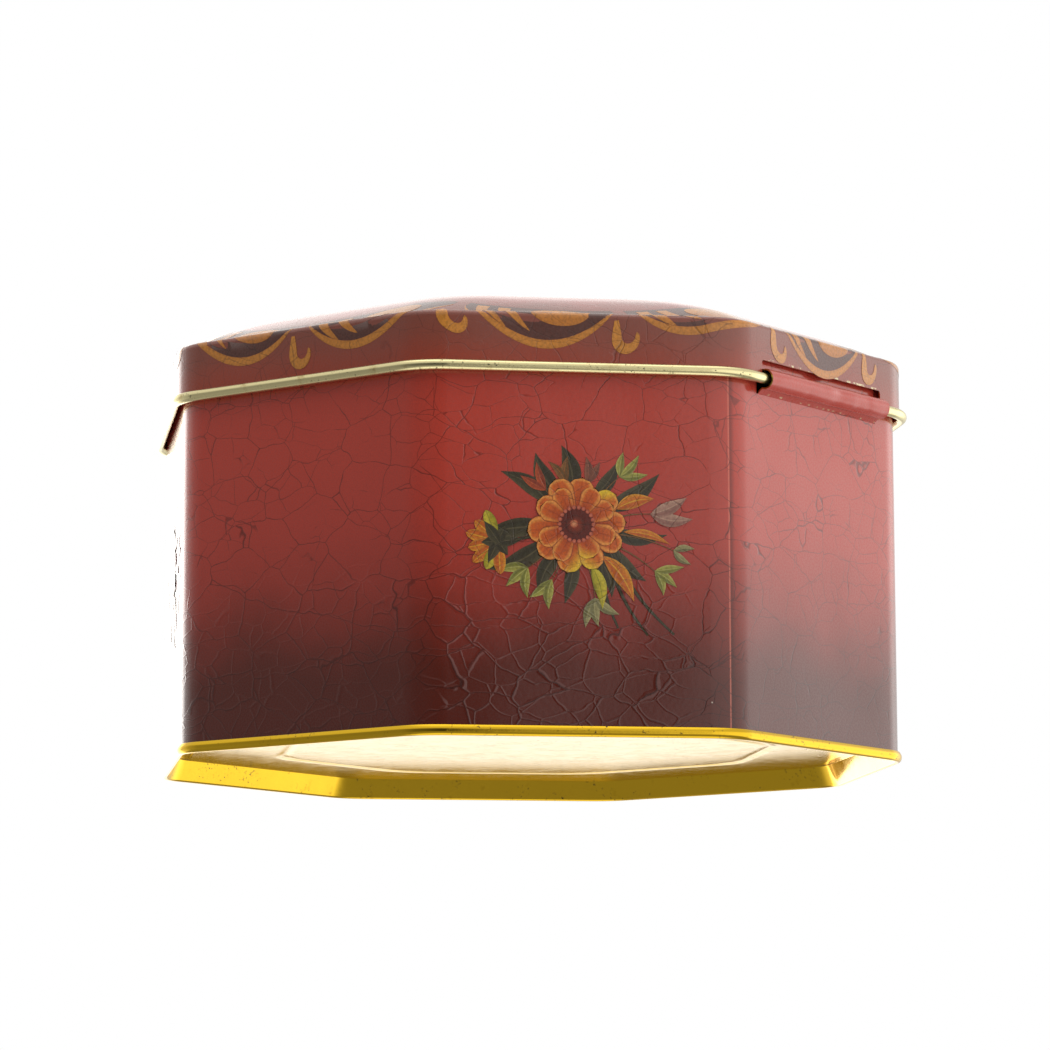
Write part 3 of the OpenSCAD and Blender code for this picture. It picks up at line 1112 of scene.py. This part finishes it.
def draw_spray(patches):
    """One open flower with leaves, sprigs and buds fanned out round it, and a smaller side flower."""
    wander = random.Random(4)
    for i in range(BACK_LEAVES):
        degrees = 360 / BACK_LEAVES * i + wander.uniform(-8, 8)
        reach = 15.0 + 4.5 * math.cos(math.radians(degrees)) ** 2 + wander.uniform(-1.5, 1.5)
        tip = out_at(degrees + wander.uniform(-6, 6), reach)
        width, bend = 3.2 + wander.uniform(-0.4, 0.8), wander.uniform(-0.14, 0.14)
        leaf(patches, out_at(degrees, 6.0), tip, width, bend, DARK_LEAF)
    for degrees, reach in ((312, 29.0), (303, 26.0), (292, 22.0)):
        stem(patches, out_at(degrees + 12, 9.0), out_at(degrees, reach), 0.9, -0.06, DARK_LEAF)
    for way, distance, length, leaves, paints in SPRIGS:
        root = out_at(way, distance)
        stem(patches, out_at(way, 7.0), root, 0.35, 0.05, OLIVE_LEAF)
        for i in range(leaves):
            degrees = way + 40 * (i - (leaves - 1) / 2) + wander.uniform(-8, 8)
            tip = root + out_at(degrees, length * wander.uniform(0.8, 1.0))
            leaf(patches, root, tip, length * 0.28, wander.uniform(-0.1, 0.1), paints)
    for way, distance, length, width, paints in BUDS:
        leaf(patches, out_at(way, distance - 2), out_at(way - 3, distance + length), width, 0.08, paints)
    draw_side_flower(patches)
    for i in range(OUTER_PETALS):
        angle = math.tau * i / OUTER_PETALS + wander.uniform(-0.08, 0.08) + 0.1
        bright = {1: 1.0, 7: 0.7, 8: -0.6}.get(i, 0.0)
        petal(patches, angle, 9.5 + wander.uniform(-0.7, 0.5), 5.2 + wander.uniform(-0.5, 0.4), bright)
    for i in range(INNER_PETALS):
        angle = math.tau * (i + 0.5) / INNER_PETALS + wander.uniform(-0.1, 0.1)
        bright = {6: -0.5}.get(i, 0.0)
        petal(patches, angle, 7.7 + wander.uniform(-0.6, 0.5), 4.5 + wander.uniform(-0.4, 0.4), bright)
    dot(patches, 0, 0, 3.6, srgb(0.44, 0.15, 0.10), srgb(0.36, 0.12, 0.08))
    bead_light, bead_dark = srgb(0.84, 0.48, 0.36), srgb(0.68, 0.30, 0.22)
    for turn in spread(0, math.tau, DISC_BEADS)[:-1]:
        dot(patches, 3.4 * math.cos(turn), 3.4 * math.sin(turn), 0.42, bead_light, bead_dark)
    dot(patches, -0.2, -0.1, 1.9, srgb(0.62, 0.24, 0.13), srgb(0.34, 0.12, 0.08))
    dot(patches, -0.5, 0.1, 0.8, srgb(0.90, 0.62, 0.44), srgb(0.70, 0.32, 0.20))


SPRAY_Z = 42.0


def make_spray(face):
    angle = face * STEP
    out = Vector((math.cos(angle), math.sin(angle), 0))
    along = Vector((-math.sin(angle), math.cos(angle), 0))

    def to_tin(x, y, lift):
        return out * (BODY_A + lift) + along * (x - 0.5) + Vector((0, 0, SPRAY_Z + y))

    patches = Patches(to_tin, 0.003)
    draw_spray(patches)
    patches.finish(f"flower_spray_{face}", "tin")


for diagonal_face in (1, 3, 5, 7):
    make_spray(diagonal_face)

# ---- floor, light and camera ----------------------------------------------------------------


def make_floor():
    """Pale floor under the tin. It is one-sided, so a camera below it sees the tin's base."""
    bm = bmesh.new()
    bmesh.ops.create_grid(bm, x_segments=1, y_segments=1, size=4.0)
    mesh = bpy.data.meshes.new("floor")
    bm.to_mesh(mesh)
    bm.free()
    floor = link("floor", mesh)
    floor.location.z = -0.0002
    made = bpy.data.materials.new("floor_white")
    made.use_nodes = True
    made.node_tree.nodes.clear()
    n = Nodes(made.node_tree)
    paint = n.new("ShaderNodeBsdfDiffuse")
    paint.inputs[0].default_value = (0.86, 0.86, 0.85, 1)
    clear = n.new("ShaderNodeBsdfTransparent")
    both = n.new("ShaderNodeMixShader")
    n.put(both.inputs[0], n.new("ShaderNodeNewGeometry").outputs["Backfacing"])
    n.tree.links.new(paint.outputs[0], both.inputs[1])
    n.tree.links.new(clear.outputs[0], both.inputs[2])
    n.tree.links.new(both.outputs[0], n.new("ShaderNodeOutputMaterial").inputs[0])
    mesh.materials.append(made)
    floor.visible_diffuse = False
    floor.visible_glossy = False
    floor.visible_shadow = False


# how bright the studio is in each direction: azimuth in degrees from +X towards +Y, strength
HORIZON = [
    (0, 0.16), (50, 0.06), (60, 1.3), (110, 1.45), (135, 1.6), (150, 2.0), (165, 2.2), (190, 1.0),
    (207, 0.75), (213, 1.45), (221, 1.45), (228, 3.6), (258, 3.6), (272, 1.1), (300, 0.5), (325, 0.30),
    (360, 0.16),
]
# a colour ramp holds shares of this strength
STRONGEST = 4.0
# elevations in degrees between which the light turns into another, and that one's strength
LEVELS = [(14, 34, 0.88), (50, 85, 1.9), (-22, -34, 0.34), (-48, -75, 1.5)]
STUDIO_COLOUR = (1, 0.972, 0.94)


def make_world():
    world = bpy.data.worlds.new("studio")
    bpy.context.scene.world = world
    world.use_nodes = True
    world.node_tree.nodes.clear()
    n = Nodes(world.node_tree)
    x, y, z = split_xyz(n, n.new("ShaderNodeTexCoord").outputs["Generated"])
    turn = n.math("FRACT", n.math("ADD", n.math("DIVIDE", n.math("ARCTAN2", y, x), math.tau), 1.0))
    profile = n.new("ShaderNodeValToRGB")
    profile.color_ramp.interpolation = "EASE"
    elements = profile.color_ramp.elements
    for element, (degrees, strength) in zip(elements, (HORIZON[0], HORIZON[-1])):
        element.position = degrees / 360
        element.color = (*[strength / STRONGEST] * 3, 1)
    for degrees, strength in HORIZON[1:-1]:
        elements.new(degrees / 360).color = (*[strength / STRONGEST] * 3, 1)
    n.put(profile.inputs[0], turn)
    light = n.math("MULTIPLY", profile.outputs[0], STRONGEST)

    for start, end, strength in LEVELS:
        low, high = math.sin(math.radians(start)), math.sin(math.radians(end))
        share = n.ramp(z, low, high) if high > low else n.ramp(z, high, low, 1.0, 0.0)
        kept = n.math("MULTIPLY", light, n.math("SUBTRACT", 1.0, share))
        light = n.math("ADD", kept, n.math("MULTIPLY", share, strength))
    studio = n.new("ShaderNodeBackground")
    n.put(studio.inputs[1], light)
    studio.inputs[0].default_value = (*STUDIO_COLOUR, 1)
    backdrop = n.new("ShaderNodeBackground")
    backdrop.inputs[0].default_value = (1, 1, 1, 1)
    backdrop.inputs[1].default_value = 1.0
    both = n.new("ShaderNodeMixShader")
    n.put(both.inputs[0], n.new("ShaderNodeLightPath").outputs["Is Camera Ray"])
    n.tree.links.new(studio.outputs[0], both.inputs[1])
    n.tree.links.new(backdrop.outputs[0], both.inputs[2])
    n.tree.links.new(both.outputs[0], n.new("ShaderNodeOutputWorld").inputs[0])


CAMERA_AZIMUTH = math.radians(36.639)
CAMERA_DISTANCE = 891.5
CAMERA_RIGHT = 0.3
CAMERA_Z = -80.4
CAMERA_PITCH = math.radians(8.513)
CAMERA_ROLL = -0.0023
CAMERA_LENS = 143.8


def make_camera():
    data = bpy.data.cameras.new("camera")
    data.sensor_width = 36
    data.lens = CAMERA_LENS
    data.clip_start, data.clip_end = 0.01, 20
    camera = link("camera", data)
    cos, sin = math.cos(CAMERA_AZIMUTH), math.sin(CAMERA_AZIMUTH)
    camera.location = Vector((
        CAMERA_DISTANCE * cos - CAMERA_RIGHT * sin,
        CAMERA_DISTANCE * sin + CAMERA_RIGHT * cos,
        CAMERA_Z,
    )) * MM
    ahead = Vector((-cos * math.cos(CAMERA_PITCH), -sin * math.cos(CAMERA_PITCH), math.sin(CAMERA_PITCH)))
    turn = ahead.to_track_quat("-Z", "Y").to_matrix().to_4x4()
    camera.rotation_euler = (turn @ Matrix.Rotation(CAMERA_ROLL, 4, "Z")).to_euler()
    bpy.context.scene.camera = camera


make_floor()
make_world()
make_camera()

scene = bpy.context.scene
scene.view_settings.view_transform = "Standard"
scene.view_settings.look = "None"
scene.view_settings.exposure = 0
scene.view_settings.gamma = 1
